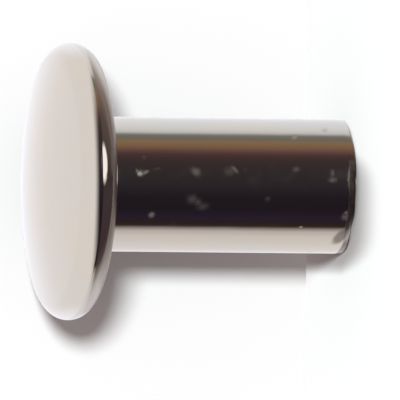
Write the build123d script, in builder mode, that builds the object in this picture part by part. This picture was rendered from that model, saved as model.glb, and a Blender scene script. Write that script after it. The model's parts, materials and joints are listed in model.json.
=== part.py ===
"""Truss head tubular rivet: a wide low-domed head on a shank whose end is a short tube.

The real rivet is cold headed and punched from one length of wire, so it is one solid. It stands on the
open end of its shank: the origin is the centre of that end, and Z is the axis, with the dome on top.
Sizes are in millimetres and degrees.
"""

import os
from math import asin, degrees, radians, tan

from build123d import *

# Shank
shank_diameter = 4.75
length_under_head = 9.25
under_head_fillet = 0.2
end_edge_radius = 0.3  # the cut end's outer edge, turned over by the die

# Head: the rim is a full round, because the metal bulges freely there, and the dome rises above it
head_diameter = 9.78
rim_thickness = 1.4
dome_rise = 0.55

# Blind hole in the end: its wall is what the setting tool rolls outwards
tube_wall = 0.65
tube_depth = 5.0  # straight part, from the open end
hole_tip_angle = 118.0  # included angle of the cone that the punch leaves
hole_mouth_chamfer = 0.1

shank_radius = shank_diameter / 2
hole_radius = shank_radius - tube_wall
hole_tip = tube_depth + hole_radius / tan(radians(hole_tip_angle / 2))

# The dome starts level on the axis and runs smoothly into the rim. In the triangle of the dome's
# centre, the rim's centre and the axis, the long side is one dome radius less one rim radius.
rim_radius = rim_thickness / 2
rim_centre_x = head_diameter / 2 - rim_radius
dome_top = length_under_head + rim_thickness + dome_rise
top_to_rim_centre = rim_radius + dome_rise
dome_radius = (rim_centre_x**2 + top_to_rim_centre**2 - rim_radius**2) / (2 * dome_rise)
dome_angle = degrees(asin(rim_centre_x / (dome_radius - rim_radius)))

with BuildPart() as rivet:
    # Shank
    with BuildSketch(Plane.XY):
        Circle(shank_radius)
    extrude(amount=length_under_head)

    # Head: one half of its section, turned about Z
    with BuildSketch(Plane.XZ):
        with BuildLine():
            dome = JernArc((0, dome_top), (1, 0), radius=dome_radius, arc_size=-dome_angle)
            rim = JernArc(dome @ 1, dome % 1, radius=rim_radius, arc_size=dome_angle - 180)
            Polyline(rim @ 1, (0, length_under_head), (0, dome_top))
        make_face()
    revolve(axis=Axis.Z)

    # Where the shank meets the head's flat underside
    seat_edges = rivet.edges().filter_by(GeomType.CIRCLE).filter_by_position(
        Axis.Z, length_under_head, length_under_head
    )
    fillet(seat_edges.sort_by(SortBy.RADIUS)[0], radius=under_head_fillet)

    # Blind hole, up from the open end
    with BuildSketch(Plane.XZ):
        Polygon((0, 0), (hole_radius, 0), (hole_radius, tube_depth), (0, hole_tip), align=None)
    revolve(axis=Axis.Z, mode=Mode.SUBTRACT)

    # The open end's two edges: broken at the hole's mouth, rounded outside
    end_edges = rivet.edges().group_by(Axis.Z)[0].sort_by(SortBy.RADIUS)
    chamfer(end_edges[0], length=min(hole_mouth_chamfer, tube_wall / 4))
    end_edges = rivet.edges().group_by(Axis.Z)[0].sort_by(SortBy.RADIUS)
    fillet(end_edges[-1], radius=min(end_edge_radius, tube_wall / 2))

rivet.part.label = "rivet"

os.makedirs("parts", exist_ok=True)
export_step(rivet.part, "parts/rivet.step")
print(f"dome radius {dome_radius:.2f} mm, volume {rivet.part.volume:.1f} mm3, {rivet.part.bounding_box().size}")
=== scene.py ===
# %% [markdown]
# # A truss head tubular rivet, nickel plated
#
# The rivet is one piece of steel wire. A machine heads one end into a wide, low dome, punches a short
# hole into the other end, and a bath covers it all with bright nickel. So there is one piece to make
# here, and nearly everything that the eye sees is its shape and what that shape mirrors.
#
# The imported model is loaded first. It gives every real size, and nothing below may leave its box.

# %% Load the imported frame
import json
import math

import bpy
import numpy as np
from mathutils import Matrix, Vector


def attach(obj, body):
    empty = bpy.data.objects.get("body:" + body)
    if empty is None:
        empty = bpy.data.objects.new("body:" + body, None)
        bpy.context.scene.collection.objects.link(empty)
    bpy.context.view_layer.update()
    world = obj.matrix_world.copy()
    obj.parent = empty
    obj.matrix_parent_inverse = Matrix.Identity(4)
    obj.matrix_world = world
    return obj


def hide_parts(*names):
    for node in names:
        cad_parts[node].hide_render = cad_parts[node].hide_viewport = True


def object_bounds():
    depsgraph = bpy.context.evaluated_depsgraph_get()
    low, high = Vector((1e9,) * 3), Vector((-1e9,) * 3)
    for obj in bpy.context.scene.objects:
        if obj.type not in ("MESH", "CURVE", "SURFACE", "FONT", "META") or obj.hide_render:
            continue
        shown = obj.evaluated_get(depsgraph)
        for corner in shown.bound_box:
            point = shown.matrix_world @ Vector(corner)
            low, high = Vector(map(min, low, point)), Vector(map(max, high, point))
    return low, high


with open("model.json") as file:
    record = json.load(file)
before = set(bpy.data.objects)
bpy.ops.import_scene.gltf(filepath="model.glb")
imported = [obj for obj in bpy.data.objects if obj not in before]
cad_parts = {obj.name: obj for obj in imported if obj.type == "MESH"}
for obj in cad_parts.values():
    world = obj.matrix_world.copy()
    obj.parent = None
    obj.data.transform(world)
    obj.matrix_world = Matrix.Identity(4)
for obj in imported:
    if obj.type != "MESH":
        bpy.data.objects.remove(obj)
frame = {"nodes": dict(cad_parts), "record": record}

MM = 0.001
cad_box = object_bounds()
mounts = {mount["name"]: mount for mount in frame["record"]["mounts"]}
print("nodes:", sorted(frame["nodes"]), "box in mm:", [round(side / MM, 3) for side in cad_box[1]])

# %% [markdown]
# ## Sizes
#
# The mounts say how thick the shank is, where its straight part starts and stops, and how wide and deep
# the hole is. The roundings are what is left between those and the ends, so they need no numbers of
# their own. Only the rim's thickness and the cone at the hole's bottom are stated here.

# %% Read the sizes from the frame
def span(mount):
    """The lowest and highest point of a round mount's wall along Z, in metres."""
    middle, half = mount["pos_m"][2], mount["dims"]["length_mm"] * MM / 2
    return middle - half, middle + half


head_radius, top = cad_box[1].x, cad_box[1].z
seat = mounts["bearing_face"]["pos_m"][2]
shank_radius = mounts["shank"]["dims"]["r_mm"] * MM
hole_radius = mounts["tube_hole"]["dims"]["r_mm"] * MM
end_rounding, shank_top = span(mounts["shank"])
mouth_break, hole_floor = span(mounts["tube_hole"])
under_head_fillet = seat - shank_top

rim_radius = 0.7 * MM
hole_tip_angle = math.radians(118)
hole_tip = hole_floor + hole_radius / math.tan(hole_tip_angle / 2)

rim_centre = np.array([head_radius - rim_radius, seat + rim_radius])
dome_rise = top - seat - 2 * rim_radius
dome_radius = (rim_centre[0] ** 2 + (rim_radius + dome_rise) ** 2 - rim_radius**2) / (2 * dome_rise)
dome_centre = np.array([0, top - dome_radius])
dome_angle = math.asin(rim_centre[0] / (dome_radius - rim_radius))
print(f"dome radius {dome_radius / MM:.2f} mm, meets the rim at {math.degrees(dome_angle):.1f} degrees")

# %% [markdown]
# ## The section
#
# A headed and punched part is round everywhere, so its whole shape is one line: it starts at the top of
# the dome, goes round the rim, in along the flat underside, down the shank, round the foot and up into
# the hole, to the tip of the cone. Each stretch is an arc or a straight line, worked out at many points
# at once. A mirror shows every flat, so the curved stretches get the points.

# %% Draw the section from arcs and lines
def arc(centre, radius, start, end, steps):
    """Points on a circle: centre plus radius times (sin t, cos t), t running evenly in radians."""
    t = np.linspace(start, end, steps + 1)[1:]
    return centre + radius * np.column_stack([np.sin(t), np.cos(t)])


def line(start, end, steps):
    """Points on a straight line: start plus t times the way to the end, t running evenly to 1."""
    t = np.linspace(0, 1, steps + 1)[1:, None]
    return np.array(start) + t * (np.array(end) - np.array(start))


def at(x, z):
    """A point of the section: x from the axis and z up."""
    return np.array([x, z])


quarter = math.pi / 2
FOOT_STEPS = 12
fillet_centre = at(shank_radius + under_head_fillet, shank_top)
foot_centre = at(shank_radius - end_rounding, end_rounding)
outside = np.vstack([
    at(0, top),
    arc(dome_centre, dome_radius, 0, dome_angle, 20),
    arc(rim_centre, rim_radius, dome_angle, math.pi, 40),
    line((rim_centre[0], seat), (fillet_centre[0], seat), 4),
    arc(fillet_centre, under_head_fillet, 0, -quarter, 7),
    line((shank_radius, shank_top), (shank_radius, end_rounding), 136),
    arc(foot_centre, end_rounding, quarter, 2 * quarter, FOOT_STEPS),
])
inside = np.vstack([
    line((foot_centre[0], 0), (hole_radius + mouth_break, 0), 2),
    line((hole_radius + mouth_break, 0), (hole_radius, mouth_break), 2),
    line((hole_radius, mouth_break), (hole_radius, hole_floor), 12),
    line((hole_radius, hole_floor), (0, hole_tip), 6),
])
section = np.vstack([outside, inside])
print(f"points along the section: {len(outside)} outside, {len(inside)} inside")

# %% [markdown]
# ## Turning the section
#
# The surface is a function of two parameters: a place along the section and an angle round the axis.
# The two ends of the section lie on the axis, so each becomes one point with a fan of triangles, and
# the last column of faces joins the first, which leaves no seam.

# %% Turn the section into a surface
COLUMNS = 400


def turned(section, columns):
    """Points and outward directions of the section turned about Z.

    A point of the section at (x, z) goes to (x sin a, -x cos a, z) for each angle a, so angle 0 faces
    -Y. Its direction is the section's own tangent, turned a quarter outwards.
    """
    angles = np.linspace(0, 2 * math.pi, columns, endpoint=False)
    ahead = np.gradient(section, axis=0)
    ahead /= np.linalg.norm(ahead, axis=1, keepdims=True)
    out = np.column_stack([-ahead[:, 1], ahead[:, 0]])
    around = np.column_stack([np.sin(angles), -np.cos(angles)])

    def carry(flat):
        ring = flat[:, None, :1] * around[None]
        return np.concatenate([ring, np.repeat(flat[:, None, 1:], columns, axis=1)], axis=2)

    return carry(section), carry(out), angles


grid, outward, angles = turned(section, COLUMNS)
print("grid:", grid.shape[:2])

# %% [markdown]
# ## The cut end and the struck head
#
# No rivet is as true as its drawing. The wire was sheared, so its end is a little out of square, its
# edge is ragged and worn in front, and on two sides a burr has squared off the rounding. Something has
# nicked it as well. And the head was struck a hair off the shank's axis.
#
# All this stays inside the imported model's box, apart from the head's small offset. The end is lifted
# most in front and hardly at all behind, where the rivet still stands on its edge. The lift dies away
# up the shank, and the head's offset lies all in the fillet under it, so that the shank stays true.

# %% Skew the end, square off two sides and set the head off its axis
def degrees_from(middle):
    """How many degrees each column lies from a bearing, the short way round, between -180 and 180."""
    return (np.degrees(angles) - middle + 180) % 360 - 180


def plateau(distance, flat, fade):
    """1 inside distance flat, falling along a smooth curve to 0 at distance flat plus fade."""
    t = np.clip((flat + fade - np.abs(distance)) / fade, 0, 1)
    return t * t * (3 - 2 * t)


foot = slice(len(outside) - FOOT_STEPS, len(outside))
from_foot_centre = section[foot] - foot_centre
to_square = end_rounding / np.abs(from_foot_centre).max(axis=1) - 1
side_burr = 0.8 * plateau(degrees_from(-85), 18, 25)
front_burr = 0.9 * plateau(degrees_from(34), 54, 22)
squared = (side_burr + front_burr) * to_square[:, None]
around_axis = grid[foot, :, :2] / section[foot, None, :1]
grid[foot, :, :2] += (squared * from_foot_centre[:, :1])[:, :, None] * around_axis
grid[foot, :, 2] += squared * from_foot_centre[:, 1:]

skew = 0.033 * (1 + np.cos(angles))
worn = 0.055 * plateau(degrees_from(-16), 16, 20)
ragged = 0.006 * (2 + np.sin(5 * angles + 1) + np.sin(13 * angles + 4))
nick = 0.03 * plateau(degrees_from(6), 1, 2)
lift = (skew + worn + ragged + nick) * MM
lift_reach = 1.5 * MM
near_end = np.clip(1 - grid[:, :, 2] / lift_reach, 0, 1) ** 2
grid[:, :, 2] += near_end * lift

head_offset = 0.08 * MM
near_head = np.clip(1 - (seat - grid[:, :, 2]) / under_head_fillet, 0, 1) ** 2
grid[:, :, 0] += near_head * head_offset
print(f"end lifted by up to {lift.max() / MM:.2f} mm, head {head_offset / MM:.2f} mm off the axis")

# %% [markdown]
# ## Knocks and scuffs
#
# Loose rivets knock against each other in the bag. A knock leaves a pit, whose slopes mirror another
# part of the room, and around it the plate is scuffed and no longer a clear mirror. Where it went
# through the plate, the darker steel shows. So each mark is three things: a depth, pressed into the
# shape here, and a scuff and a bareness, stored with each vertex for the finish to read. The marks on
# the front are set one by one, and chance scatters more over the rest.
#
# The rim is rubbed dull under its edge, where it slid down the heading machine's track. In front and
# at one corner, the cut end's rounding is painted in the bare steel's dark colour: a painted dark
# reflection in front, in place of the bright pane that it would mirror, and painted contact shade at
# the corner.

# %% Press in the marks
on_outside = np.arange(len(section))[:, None] < len(outside)
radius = np.hypot(grid[:, :, 0], grid[:, :, 1])


def oval(angle, height, width, length, lean=0):
    """How deep each grid point lies in an oval mark on the shank: (1 - d squared) squared, d being 1
    at its edge. The angle and lean are in degrees, the height, width and length in millimetres."""
    across = np.radians(degrees_from(angle))[None, :] * shank_radius
    along = grid[:, :, 2] - height * MM
    c, s = math.cos(math.radians(lean)), math.sin(math.radians(lean))
    u = (across * c + along * s) / (width * MM)
    v = (along * c - across * s) / (length * MM)
    return np.clip(1 - u**2 - v**2, 0, None) ** 2 * on_outside


def near_foot(reach):
    """0 above reach times the height of the cut end's rounding, and 1 a fifth of that height lower."""
    fade = 0.2 * end_rounding
    return np.clip((reach * end_rounding - section[:, 1:]) / fade, 0, 1) * on_outside


front_marks = [  # angle, height, width, length, lean, depth, scuff, bareness
    (9.0, 7.95, 0.14, 0.15, 0, 0.0012, 0.60, 0),
    (9.5, 7.92, 0.24, 0.26, 0, 0, 0.22, 0),
    (10.9, 8.04, 0.08, 0.17, -52, 0, 0.27, 0),
    (10.2, 7.76, 0.11, 0.26, 28, 0, 0.27, 0),
    (13.6, 7.32, 0.09, 0.32, 12, 0, 0.14, 0),
    (23.4, 7.77, 0.20, 0.17, 0, 0, 0.34, 0),
    (11.9, 5.95, 0.27, 0.38, -53, 0, 0.19, 0),
    (13.1, 4.72, 0.42, 0.40, 0, 0, 0.13, 0),
    (14.8, 4.55, 0.14, 0.42, -50, 0, 0.24, 0),
    (-12.0, 6.06, 0.38, 0.42, 0, 0, 0.42, 0),
    (-15.3, 5.82, 0.32, 0.46, -40, 0, 0.38, 0),
    (-18.3, 5.64, 0.28, 0.44, 10, 0, 0.42, 0),
    (-26.7, 7.47, 0.21, 0.20, 0, 0, 0.55, 0),
    (14.1, 4.14, 0.12, 0.12, 0, 0, 0.14, 0),
    (18.1, 3.19, 0.20, 0.18, 0, 0, 0.16, 0),
    (14.9, 2.27, 0.20, 0.26, 20, 0, 0.17, 0),
    (11.8, 0.97, 0.28, 0.12, 0, 0, 0.12, 0),
    (5.2, 0.97, 0.18, 0.28, 0, 0, 0.15, 0),
    (-11.5, 3.31, 0.20, 0.20, 0, 0, 0.40, 0),
    (-3.8, 1.91, 0.10, 0.10, 0, 0, 0.20, 0),
    (-22.8, 0.43, 0.12, 0.12, 0, 0, 0.60, 0),
    (-26.7, 0.46, 0.26, 0.24, 0, 0, 0.42, 0),
    (-37.6, 1.98, 0.07, 0.10, 0, 0, 0.70, 0),
    (-49.3, 0.47, 0.56, 0.29, -17, 0.002, 0.10, 0.65),
    (2.5, 9.74, 0.05, 0.09, 20, 0.003, 0.15, 0),
    (5.6, 9.68, 0.04, 0.10, -20, 0.002, 0.20, 0),
]
chance = np.random.default_rng(5)
other_marks = [
    (*chance.uniform((45, 0.6), (300, 8.8)), *chance.uniform(0.1, 0.3, 2), chance.uniform(-60, 60),
     chance.uniform(0, 0.002), chance.uniform(0.1, 0.6), 0)
    for _ in range(34)
]
downwards = -np.degrees(np.arcsin(outward[:, :, 2]))  # how far a place faces below level, in degrees
rubbed_band = 0.5 * plateau(downwards - 55, 6, 22) * (radius > rim_centre[0])
rubbed_spot = 0.6 * plateau(downwards - 36, 3, 12) * plateau(degrees_from(8.5), 3, 5)
scuff = np.maximum(rubbed_band, rubbed_spot)
# Painted light on the cut end's rounding, in the bare steel's dark colour: a painted dark reflection in
# front, in place of the bright pane, and painted contact shade at the lower corner.
painted_dark_reflection_front = near_foot(1.05) * plateau(degrees_from(-10), 26, 14)
painted_contact_shade_corner = near_foot(1.3) * 0.7 * plateau(degrees_from(-80), 20, 14) * (downwards > 10)
bare = np.maximum(painted_dark_reflection_front, painted_contact_shade_corner)
depth = np.zeros(grid.shape[:2])
for *place_and_size, deep, dull, gone in front_marks + other_marks:
    shape = oval(*place_and_size)
    depth = np.maximum(depth, shape * deep * MM)
    scuff = np.maximum(scuff, shape * dull)
    bare = np.maximum(bare, np.minimum(1, shape * 2) * gone)
grid -= outward * depth[:, :, None]
print(f"marks: {len(front_marks)} set, {len(other_marks)} scattered, deepest {depth.max() / MM:.3f} mm")

# %% [markdown]
# ## The mesh
#
# The grid becomes one closed mesh: quads between neighbouring rings, and a fan of triangles at each of
# the two points on the axis. The scuffs, and the bare steel together with the painted shade on the cut
# end, go with it as numbers for each vertex.

# %% Build the rivet's mesh
def single_ends(values):
    """The grid's values as one list, with the first and the last ring kept as a single point each."""
    return np.vstack([values[:1, 0], values[1:-1].reshape(-1, values.shape[2]), values[-1:, 0]])


def closed_mesh(name, grid):
    """A mesh from a grid of rings whose first and last ring have shrunk to a point on the axis."""
    rings, columns = grid.shape[:2]
    points = single_ends(grid)
    start = 1 + np.arange(rings - 2)[:, None] * columns
    here, beside = start + np.arange(columns), start + (np.arange(columns) + 1) % columns
    walls = np.stack([here[:-1], here[1:], beside[1:], beside[:-1]], axis=-1).reshape(-1, 4)
    tip = len(points) - 1
    first = np.column_stack([np.zeros(columns, int), here[0], beside[0]])
    last = np.column_stack([here[-1], np.full(columns, tip), beside[-1]])
    mesh = bpy.data.meshes.new(name)
    mesh.from_pydata(points.tolist(), [], walls.tolist() + first.tolist() + last.tolist())
    mesh.polygons.foreach_set("use_smooth", [True] * len(mesh.polygons))
    return mesh


def place(name, data):
    """Puts a mesh, a camera or a lamp into the scene, at the origin."""
    piece = bpy.data.objects.new(name, data)
    bpy.context.scene.collection.objects.link(piece)
    return piece


rivet = place("plated_rivet", closed_mesh("plated_rivet", grid))
# The second attribute holds the bare steel, and also the painted shade and painted dark reflection on
# the cut end's rounding.
for name, amount in (("scuff", scuff), ("bare", bare)):
    layer = rivet.data.attributes.new(name, "FLOAT", "POINT")
    layer.data.foreach_set("value", single_ends(amount[:, :, None]).ravel())
rivet.data.calc_loop_triangles()
print("triangles:", len(rivet.data.loop_triangles))

# %% [markdown]
# ## Writing shader maths as Python
#
# A finish is a small sum: so much of one colour where a mask is high, a rougher patch where it is low.
# In the node editor each plus sign is a box to wire up. This class lets an ordinary expression add
# those boxes, and one more method adds any other node.

# %% A small language for nodes
class Graph:
    """The nodes of one material, or of the world."""

    def __init__(self, owner):
        owner.use_nodes = True
        self.tree = owner.node_tree
        self.tree.nodes.clear()

    def node(self, kind, settings=None, sockets=None, output=0):
        """Adds a node: first its settings, then a value or a link for each of its sockets."""
        made = self.tree.nodes.new("ShaderNode" + kind)
        for name, value in (settings or {}).items():
            if name == "stops":
                fill_ramp(made.color_ramp, value)
            else:
                setattr(made, name, value)
        for name, value in (sockets or {}).items():
            if isinstance(value, Wire):
                self.tree.links.new(value.socket, made.inputs[name])
            else:
                made.inputs[name].default_value = value
        return Wire(self, made.outputs[output]) if len(made.outputs) else made

    def mix(self, factor, low, high):
        """A colour between two colours. The sockets are numbered, as their names are used twice."""
        sockets = {0: factor, 6: low, 7: high}
        return self.node("Mix", {"data_type": "RGBA"}, sockets, output=2)

    def slope(self, value, low, high, kind="LINEAR"):
        """0 below low, 1 above high, and a straight or smooth slope between them."""
        sockets = {"Value": value, "From Min": low, "From Max": high}
        return self.node("MapRange", {"interpolation_type": kind}, sockets)

    def step(self, value, low, high):
        """The smooth slope. It falls where low is the greater of the two."""
        return self.slope(value, low, high, "SMOOTHSTEP")

    def math(self, operation, first, second=0.0):
        return self.node("Math", {"operation": operation}, {0: first, 1: second})

    def is_ray(self, kind):
        """1 where light is followed for this kind of ray, such as Camera or Glossy, and 0 elsewhere."""
        return self.node("LightPath", output=f"Is {kind} Ray")


class Wire:
    """One output of a node, on which Python's operators add Math nodes."""

    def __init__(self, graph, socket):
        self.graph, self.socket = graph, socket

    def __add__(self, other):
        return self.graph.math("ADD", self, other)

    def __sub__(self, other):
        return self.graph.math("SUBTRACT", self, other)

    def __rsub__(self, other):
        return self.graph.math("SUBTRACT", other, self)

    def __mul__(self, other):
        return self.graph.math("MULTIPLY", self, other)

    def __truediv__(self, other):
        return self.graph.math("DIVIDE", self, other)

    def __rtruediv__(self, other):
        return self.graph.math("DIVIDE", other, self)

    def __lt__(self, other):
        return self.graph.math("LESS_THAN", self, other)

    def __neg__(self):
        return self * -1

    __radd__, __rmul__ = __add__, __mul__


def fill_ramp(ramp, stops):
    """Sets a ramp's stops from pairs of a place between 0 and 1 and a colour."""
    while len(ramp.elements) < len(stops):
        ramp.elements.new(1)
    for element, (place_on_ramp, colour) in zip(ramp.elements, stops):
        element.position = place_on_ramp
        element.color = (*colour, 1)

# %% [markdown]
# ## Bright nickel
#
# Nickel is a metal with a warm grey mirror: it returns about two thirds of red light and half of blue.
# A bright bath levels the surface, so it is nearly smooth, and a few small things keep it from looking
# like glass. The plate is a touch hazier in some patches than in others. The drawn wire shows through
# it as very fine lines along the shank and as a faint waviness. Where it was scuffed it is dull.

# %% Make the nickel finish
NICKEL = np.array([0.66, 0.61, 0.53])


def bright_nickel():
    material = bpy.data.materials.new("bright_nickel_plate")
    graph = Graph(material)
    on_rivet = graph.node("TexCoord", output="Object")

    def noise(size_mm, stretch=1, detail=2):
        """Noise with features of a size in millimetres, drawn out along Z by a factor."""
        where = graph.node("Mapping", sockets={"Vector": on_rivet, "Scale": (1, 1, 1 / stretch)})
        scale = 1000 / size_mm
        return graph.node("TexNoise", sockets={"Vector": where, "Scale": scale, "Detail": detail})

    def tint(red, green, blue):
        """The nickel's colour, changed by a factor for each of red, green and blue."""
        return (*(NICKEL * (red, green, blue)), 1)

    cloud = graph.step(noise(2.6), 0.35, 0.65)
    wire = noise(0.12, stretch=40)
    colour = graph.mix(cloud, tint(1.01, 0.995, 0.98), tint(0.99, 1.0, 1.02))

    bare, scuffed = (
        graph.node("Attribute", {"attribute_name": name}, output=2) for name in ("bare", "scuff")
    )
    # Dark bare-steel colour: real where a knock went through the plate, painted shade and a painted
    # dark reflection on the cut end's rounding.
    colour = graph.mix(bare * (noise(0.25) * 0.4 + 0.8), colour, tint(0.18, 0.155, 0.155))
    torn = scuffed * (noise(0.4) * 0.5 + 0.75)
    haze = graph.step(noise(0.9), 0.45, 0.8)
    roughness = 0.03 + haze * 0.05 + wire * 0.01 + torn * 0.6 + bare * 0.4

    wavy = graph.node("Bump", sockets={
        "Height": noise(1.6, stretch=2) + wire * 0.02,
        "Distance": 0.008 * MM,
    })
    surface = graph.node("BsdfPrincipled", sockets={
        "Base Color": colour,
        "Metallic": 1.0,
        "Roughness": roughness,
        "Normal": wavy,
    })
    graph.node("OutputMaterial", sockets={"Surface": surface})
    return material


rivet.data.materials.append(bright_nickel())
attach(rivet, "root")
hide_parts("rivet")

# %% [markdown]
# ## The camera
#
# The rivet lies in the picture with its head to the left and its dome turned a little to the viewer.
# Here it stands up, so the camera is low in front of it and rolled a quarter turn: the top of the
# dome then points left. It is far away with a long lens, which keeps the shank's sides parallel.

# %% Set up the camera
SENSOR = 36.0
picture_width = 14.115 * MM
camera_height_angle = math.radians(14.3)
camera_distance = 0.6
camera_roll = math.radians(0.6)
aim = Vector((-0.53 * MM, 0, 5.18 * MM))

towards_camera = Vector((0, -math.cos(camera_height_angle), math.sin(camera_height_angle)))
picture_right = Vector((0, -math.sin(camera_height_angle), -math.cos(camera_height_angle)))
picture_up = towards_camera.cross(picture_right)
right = picture_right * math.cos(camera_roll) + picture_up * math.sin(camera_roll)
up = picture_up * math.cos(camera_roll) - picture_right * math.sin(camera_roll)

camera_data = bpy.data.cameras.new("camera")
camera_data.sensor_width = SENSOR
camera_data.lens = SENSOR * camera_distance / picture_width
camera_data.clip_start, camera_data.clip_end = 0.01, 10
camera = place("camera", camera_data)
turn = Matrix((right, up, towards_camera)).transposed().to_4x4()
camera.matrix_world = Matrix.Translation(aim + towards_camera * camera_distance) @ turn
bpy.context.scene.camera = camera
print(f"lens {camera_data.lens:.0f} mm at {camera_distance} m")

# %% [markdown]
# ## The room that the metal mirrors
#
# Polished metal has no look of its own: it shows the room. The room here is a bright studio with
# white walls and ceiling, in which something large and dark stands in front of the rivet, where the
# viewer is. A long shank mirrors a single level ring of that room, squeezed into narrow bands, and so
# the ring is written down colour by colour. A second ring serves for everything lower.
#
# Only mirror rays see this room. The camera sees plain white behind the stage, and matt surfaces get
# an even, slightly warm light.

# %% Describe the room by direction
def ring(graph, bearing, colours):
    """A ramp round the horizon: colours by bearing in degrees, 0 in front and 90 at the right."""
    stops = [(degrees / 360 + 0.5, colour) for degrees, colour in colours.items()]
    return graph.node("ValToRGB", {"stops": stops}, {"Fac": bearing})


def sine(degrees):
    """The height z of a direction that rises by so many degrees above level."""
    return math.sin(math.radians(degrees))


level_ring = {
    -180: (1.03, 1.02, 1.10),
    -150: (0.95, 0.93, 0.99),
    -126: (0.93, 0.93, 0.98),
    -99: (0.86, 0.83, 0.85),
    -86.5: (0.71, 0.66, 0.68),
    -80: (0.37, 0.33, 0.34),
    -75: (0.05, 0.034, 0.03),
    -70: (0.036, 0.023, 0.021),
    -58: (0.027, 0.020, 0.042),
    -40: (0.020, 0.014, 0.023),
    -22: (0.021, 0.016, 0.024),
    0: (0.034, 0.029, 0.038),
    35: (0.05, 0.040, 0.045),
    47: (0.07, 0.045, 0.047),
    54: (0.10, 0.056, 0.058),
    60: (0.16, 0.088, 0.09),
    66: (0.24, 0.14, 0.105),
    73: (0.30, 0.185, 0.105),
    80: (0.31, 0.215, 0.14),
    87: (0.225, 0.205, 0.17),
    95: (0.25, 0.255, 0.26),
    103: (0.77, 0.79, 0.84),
    112: (0.90, 0.93, 1.0),
    126: (0.96, 1.0, 1.10),
    180: (1.06, 1.08, 1.18),
}
low_ring = {
    -180: (0.66, 0.63, 0.67),
    -168: (0.58, 0.54, 0.57),
    -148: (0.78, 0.75, 0.82),
    -120: (0.75, 0.73, 0.78),
    -104: (0.63, 0.60, 0.64),
    -90: (0.30, 0.28, 0.28),
    -78: (0.10, 0.08, 0.085),
    -60: (0.065, 0.045, 0.055),
    -20: (0.07, 0.05, 0.06),
    10: (0.06, 0.045, 0.05),
    40: (0.11, 0.09, 0.085),
    60: (0.125, 0.10, 0.10),
    78: (0.22, 0.165, 0.155),
    95: (0.32, 0.26, 0.25),
    110: (0.42, 0.38, 0.385),
    125: (0.66, 0.65, 0.69),
    145: (0.87, 0.88, 0.96),
    165: (0.86, 0.85, 0.92),
    180: (0.66, 0.63, 0.67),
}


DARK_FLOOR = (0.12, 0.10, 0.105, 1)
WHITE_WALL = (1.01, 1.0, 1.05, 1)
BRIGHT_WALL = (1.16, 1.18, 1.30, 1)
PANE = (1.4, 1.36, 1.42, 1)
DIM = (0.1, 0.1, 0.1, 1)
WARM = (0.31, 0.25, 0.25, 1)
WHITE = (1, 1, 1, 1)


def studio_room():
    """Sets up the world. The direction of a ray is (x, y, z), with y away from the camera and z up."""
    world = bpy.data.worlds.new("studio")
    bpy.context.scene.world = world
    graph = Graph(world)
    direction = graph.node("TexCoord", output="Generated")
    x, y, z = (graph.node("SeparateXYZ", sockets={"Vector": direction}, output=i) for i in range(3))
    bearing = graph.math("ARCTAN2", x, -y) / (2 * math.pi) + 0.5

    # The two rings, and under them a dark patch of floor at the back
    lower = graph.step(z, sine(-17), sine(-24))
    room = graph.mix(lower, ring(graph, bearing, level_ring), ring(graph, bearing, low_ring))
    deep = graph.slope(z, -0.62, -1.0) * graph.step(y, -0.02, 0.1)
    room = graph.mix(deep, room, DARK_FLOOR)

    # White walls and ceiling above a slanting edge, and brighter low down at the back
    over_the_edge = graph.step(y * 0.512 + z * 0.855 - x * 0.077, -0.54, 0.03)
    over_level = graph.step(z, sine(-13), sine(-8))
    room = graph.mix(over_the_edge * over_level, room, WHITE_WALL)
    low = graph.step(z, sine(26), sine(3)) * graph.step(z, -0.24, -0.15)
    behind = graph.step(y, 0.5, 0.9)
    to_the_sides = graph.math("ABSOLUTE", x) * 0.9 + 0.45
    room = graph.mix(low * behind * to_the_sides, room, BRIGHT_WALL)

    # An oval pane of light in front, low and a little to the right, with a bar across it
    sideways = (bearing - (0.5 + 16 / 360)) * (360 / 20)
    upwards = (z - sine(-27)) / 0.30
    pane = graph.step(graph.math("SQRT", sideways * sideways + upwards * upwards), 1.05, 0.62)
    crossbar = graph.step(graph.math("ABSOLUTE", z + towards_camera.z), 0.04, 0.075)
    room = graph.mix(pane * crossbar, room, PANE)

    # Which kind of ray sees what
    first = graph.node("LightPath", output="Diffuse Depth") < 0.5
    seen = graph.mix(graph.is_ray("Diffuse"), DIM, WARM)
    seen = graph.mix(graph.is_ray("Glossy") * first, seen, room)
    seen = graph.mix(graph.is_ray("Camera") + graph.is_ray("Transmission"), seen, WHITE)
    background = graph.node("Background", sockets={"Color": seen, "Strength": 1.0})
    graph.node("OutputWorld", sockets={"Surface": background})


studio_room()

# %% [markdown]
# ## The stage
#
# The rivet stands on a white floor. A white card stands upright behind it and touches its head, so
# that from the front the rivet lies on paper and throws its shadow there. The card has only a front:
# from behind it lets the view through, and from the side it is next to nothing.
#
# One soft lamp beside the camera makes the shadow. It strikes the floor at a low angle, so the floor
# also glows for the eye, which brings it up to white. Round the rivet's foot that glow dies away in a
# painted shadow, whose shape is worked out from the place on the floor, where the lamp's own shadow
# lies too.

# %% Make the floor, the card and the lamp
def rectangle(name, centre, u, v):
    """Corners centre +- u +- v."""
    corners = [centre - u - v, centre + u - v, centre + u + v, centre - u + v]
    mesh = bpy.data.meshes.new(name)
    mesh.from_pydata([tuple(c) for c in corners], [], [(0, 1, 2, 3)])
    return place(name, mesh)


SHADE_SHIFT = 0.85 * MM
SHADE_HALF_WIDTH = 2.38 * MM
SHADE_REACH = 5.6 * MM


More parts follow.
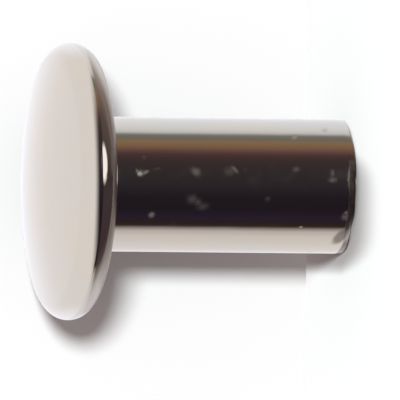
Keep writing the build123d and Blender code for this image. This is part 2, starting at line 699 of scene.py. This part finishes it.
def paper(name, glow, painted_shadow_strength=0.0):
    """White matt paper, clear from behind, with some glow added for the eye.

    The glow dies away in a painted shadow, by the painted shadow's strength: fully where q is under
    0.3, and not at all where q is over 1. q is (X + shift) / half width, to the fourth power, plus the
    distance in front of the axis or behind the card, divided by the reach.
    """
    material = bpy.data.materials.new(name)
    graph = Graph(material)
    where = graph.node("TexCoord", output="Object")
    x, y = (graph.node("SeparateXYZ", sockets={"Vector": where}, output=i) for i in range(2))
    across = (x + SHADE_SHIFT) / SHADE_HALF_WIDTH
    beyond = graph.math("MAXIMUM", graph.math("ABSOLUTE", y - head_radius / 2) - head_radius / 2)
    q = graph.math("POWER", graph.math("ABSOLUTE", across), 4) + beyond / SHADE_REACH
    # Painted shadow: the floor's glow is taken away by this shape of the place round the rivet's foot.
    painted_shadow = graph.step(q, 1.0, 0.3) * painted_shadow_strength
    for_the_eye = graph.is_ray("Camera") + graph.is_ray("Glossy") + graph.is_ray("Transmission")

    matt = graph.node("BsdfDiffuse", sockets={"Color": (0.9, 0.9, 0.9, 1)})
    light = graph.node("Emission", sockets={"Color": (0.93, 1, 1, 1), "Strength": for_the_eye * glow})
    glowing = graph.node("AddShader", sockets={0: matt, 1: light})
    front = graph.node("MixShader", sockets={0: painted_shadow, 1: glowing, 2: matt})
    clear = graph.node("BsdfTransparent")
    behind = graph.node("NewGeometry", output="Backfacing")
    both = graph.node("MixShader", sockets={0: behind, 1: front, 2: clear})
    graph.node("OutputMaterial", sockets={"Surface": both})
    return material


def lamp(name, centre, towards, distance, size, white):
    """A round, slightly cool lamp that gives a white surface facing it the level white."""
    data = bpy.data.lights.new(name, "AREA")
    data.shape, data.size = "DISK", size
    data.energy = white * math.pi**2 * distance**2
    data.color = (0.95, 1, 1)
    made = place(name, data)
    made.location = centre + towards * distance
    made.rotation_mode = "QUATERNION"
    made.rotation_quaternion = towards.to_track_quat("Z", "Y")
    made.visible_glossy = False


floor_half = 0.4
card_half_width = 0.025
card_half_height = 0.05
card_middle = Vector((0, head_radius, card_half_height))
floor = rectangle("floor", Vector((0, 0, 0)), Vector((floor_half, 0, 0)), Vector((0, floor_half, 0)))
card = rectangle("card", card_middle, Vector((card_half_width, 0, 0)), Vector((0, 0, card_half_height)))
floor.data.materials.append(paper("floor_paper", glow=0.545, painted_shadow_strength=1.0))
card.data.materials.append(paper("card_paper", glow=0.034))
for stage_piece in (floor, card):
    stage_piece.visible_glossy = False
    stage_piece.visible_diffuse = False
    stage_piece.visible_shadow = False
print(f"card stands {head_radius / MM:.2f} mm behind the axis")

rivet_middle = Vector((0, 0, 5 * MM))
above_camera = math.tan(math.radians(9))
left_of_camera = 0.065
key_from = towards_camera + picture_up * above_camera - picture_right * left_of_camera
lamp("key", rivet_middle, key_from.normalized(), distance=0.5, size=0.07, white=0.93)

# %% [markdown]
# ## Finish

# %% Set the colour view and finish
bpy.context.scene.view_settings.view_transform = "Standard"
